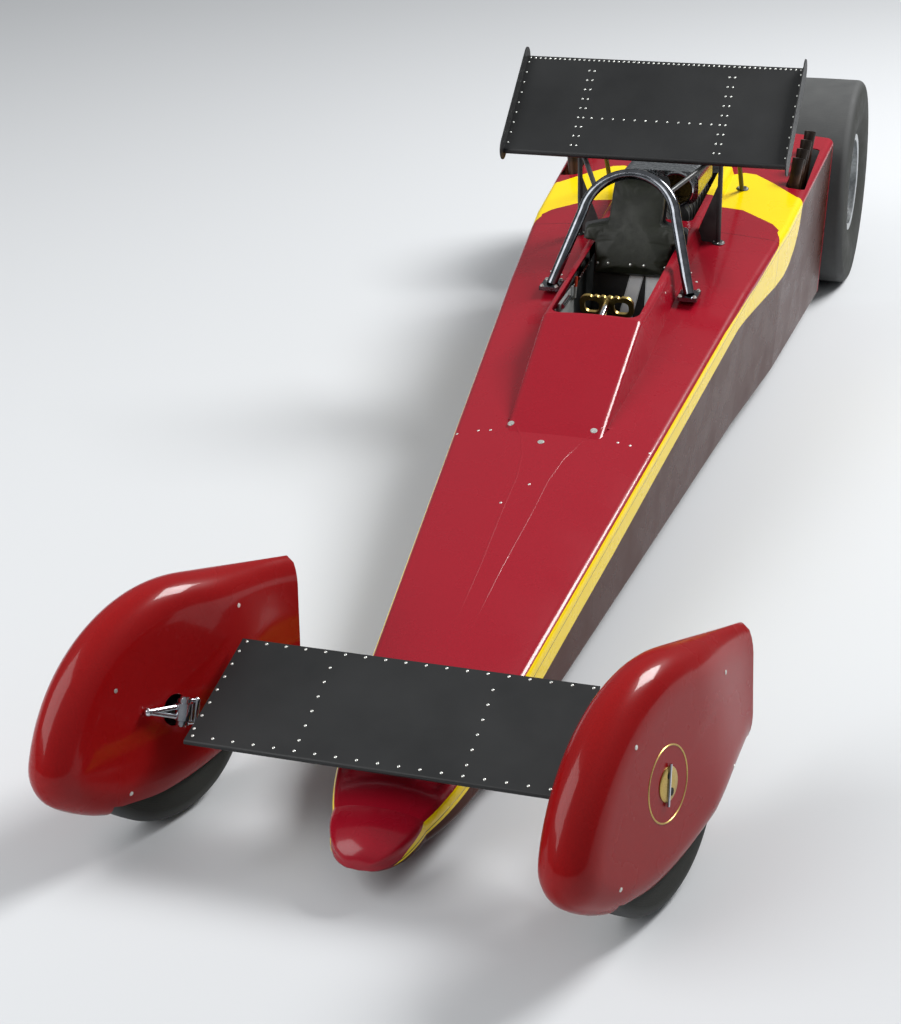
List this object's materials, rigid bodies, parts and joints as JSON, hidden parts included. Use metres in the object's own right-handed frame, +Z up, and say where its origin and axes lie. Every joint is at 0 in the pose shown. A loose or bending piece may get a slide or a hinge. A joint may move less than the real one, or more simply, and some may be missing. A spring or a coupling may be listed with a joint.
{
  "type": "drag racing car",
  "caption": "Low wedge-bodied drag racing car with a front and a rear wing, closed pods round the steered front wheels, open cockpit with roll hoop and wide slick rear tyres.",
  "frame": {"origin": "on the ground, at the middle of the car's length and width", "axes": "-Y is the way the car drives, +X is its left side, +Z is up"},
  "size_m": [1.7392, 5.6161, 1.3058],
  "materials": {
    "painted_red": "gloss candy red",
    "painted_side": "gloss dark brown",
    "wing_black": "satin black",
    "tube_steel": "satin black tube",
    "chrome": "polished",
    "aluminium": "satin sheet",
    "cast_metal": "as cast",
    "engine_iron": "painted casting",
    "tyre": "matt rubber",
    "pad": "black vinyl",
    "webbing": "white woven webbing",
    "pack_cloth": "black woven nylon",
    "steel": "machined"
  },
  "bodies": {
    "chassis": {"belly_pan": "painted_side", "blower": "cast_metal", "chassis_frame": "tube_steel", "cockpit_tub": "wing_black", "dash_panel": "wing_black", "engine_block": "engine_iron", "exhaust_headers": "chrome", "firewall": "aluminium", "front_axle_beam": "chrome", "front_deck": "painted_red", "front_radius_rods": "chrome", "front_wing": "wing_black", "front_wing_pylons": "wing_black", "harness_belts": "webbing", "headrest_pad": "pad", "injector_hat": "cast_metal", "nose_cone": "painted_red", "parachute_bracket": "aluminium", "parachute_pack": "pack_cloth", "quarter_panel_left": "painted_side", "quarter_panel_right": "painted_side", "rear_axle_housing": "tube_steel", "rear_deck": "painted_red", "rear_wing": "wing_black", "rear_wing_endplates": "wing_black", "rear_wing_struts": "tube_steel", "roll_hoop": "chrome", "seat_shell": "aluminium", "side_panel_left": "painted_side", "side_panel_right": "painted_side", "steering_column": "steel", "steering_yoke": "aluminium"},
    "front_corner_left": {"front_knuckle_left": "steel", "wheel_pod_left": "painted_red"},
    "front_corner_right": {"front_knuckle_right": "steel", "wheel_pod_right": "painted_red"},
    "front_wheel_left": {"front_rim_left": "aluminium", "front_tyre_left": "tyre"},
    "front_wheel_right": {"front_rim_right": "aluminium", "front_tyre_right": "tyre"},
    "rear_axle": {"rear_axle_shaft": "steel", "rear_rim_left": "aluminium", "rear_rim_right": "aluminium", "rear_tyre_left": "tyre", "rear_tyre_right": "tyre"}
  },
  "joints": [
    {"name": "steer_left", "type": "hinge", "parent": "chassis", "child": "front_corner_left", "pos_m": [0.555, -2.355, 0.28844], "axis": [0, 0.4226, 0.9063], "range_deg": [0, 40]},
    {"name": "steer_right", "type": "hinge", "parent": "chassis", "child": "front_corner_right", "pos_m": [-0.555, -2.355, 0.31839], "axis": [0, 0.4226, 0.9063], "range_deg": [0, 40]},
    {"name": "front_wheel_left_spin", "type": "hinge", "parent": "front_corner_left", "child": "front_wheel_left", "pos_m": [0.65486, -2.38441, 0.30215], "axis": [0.9511, -0.2801, 0.1306], "continuous": true},
    {"name": "front_wheel_right_spin", "type": "hinge", "parent": "front_corner_right", "child": "front_wheel_right", "pos_m": [-0.65235, -2.31935, 0.30177], "axis": [0.9272, -0.3395, 0.1583], "continuous": true},
    {"name": "rear_axle_spin", "type": "hinge", "parent": "chassis", "child": "rear_axle", "pos_m": [0, 2.375, 0.441], "axis": [1, 0, 0], "continuous": true}
  ],
  "couplings": [
    {"joint": "steer_right", "follows": "steer_left", "ratio": 1}
  ]
}
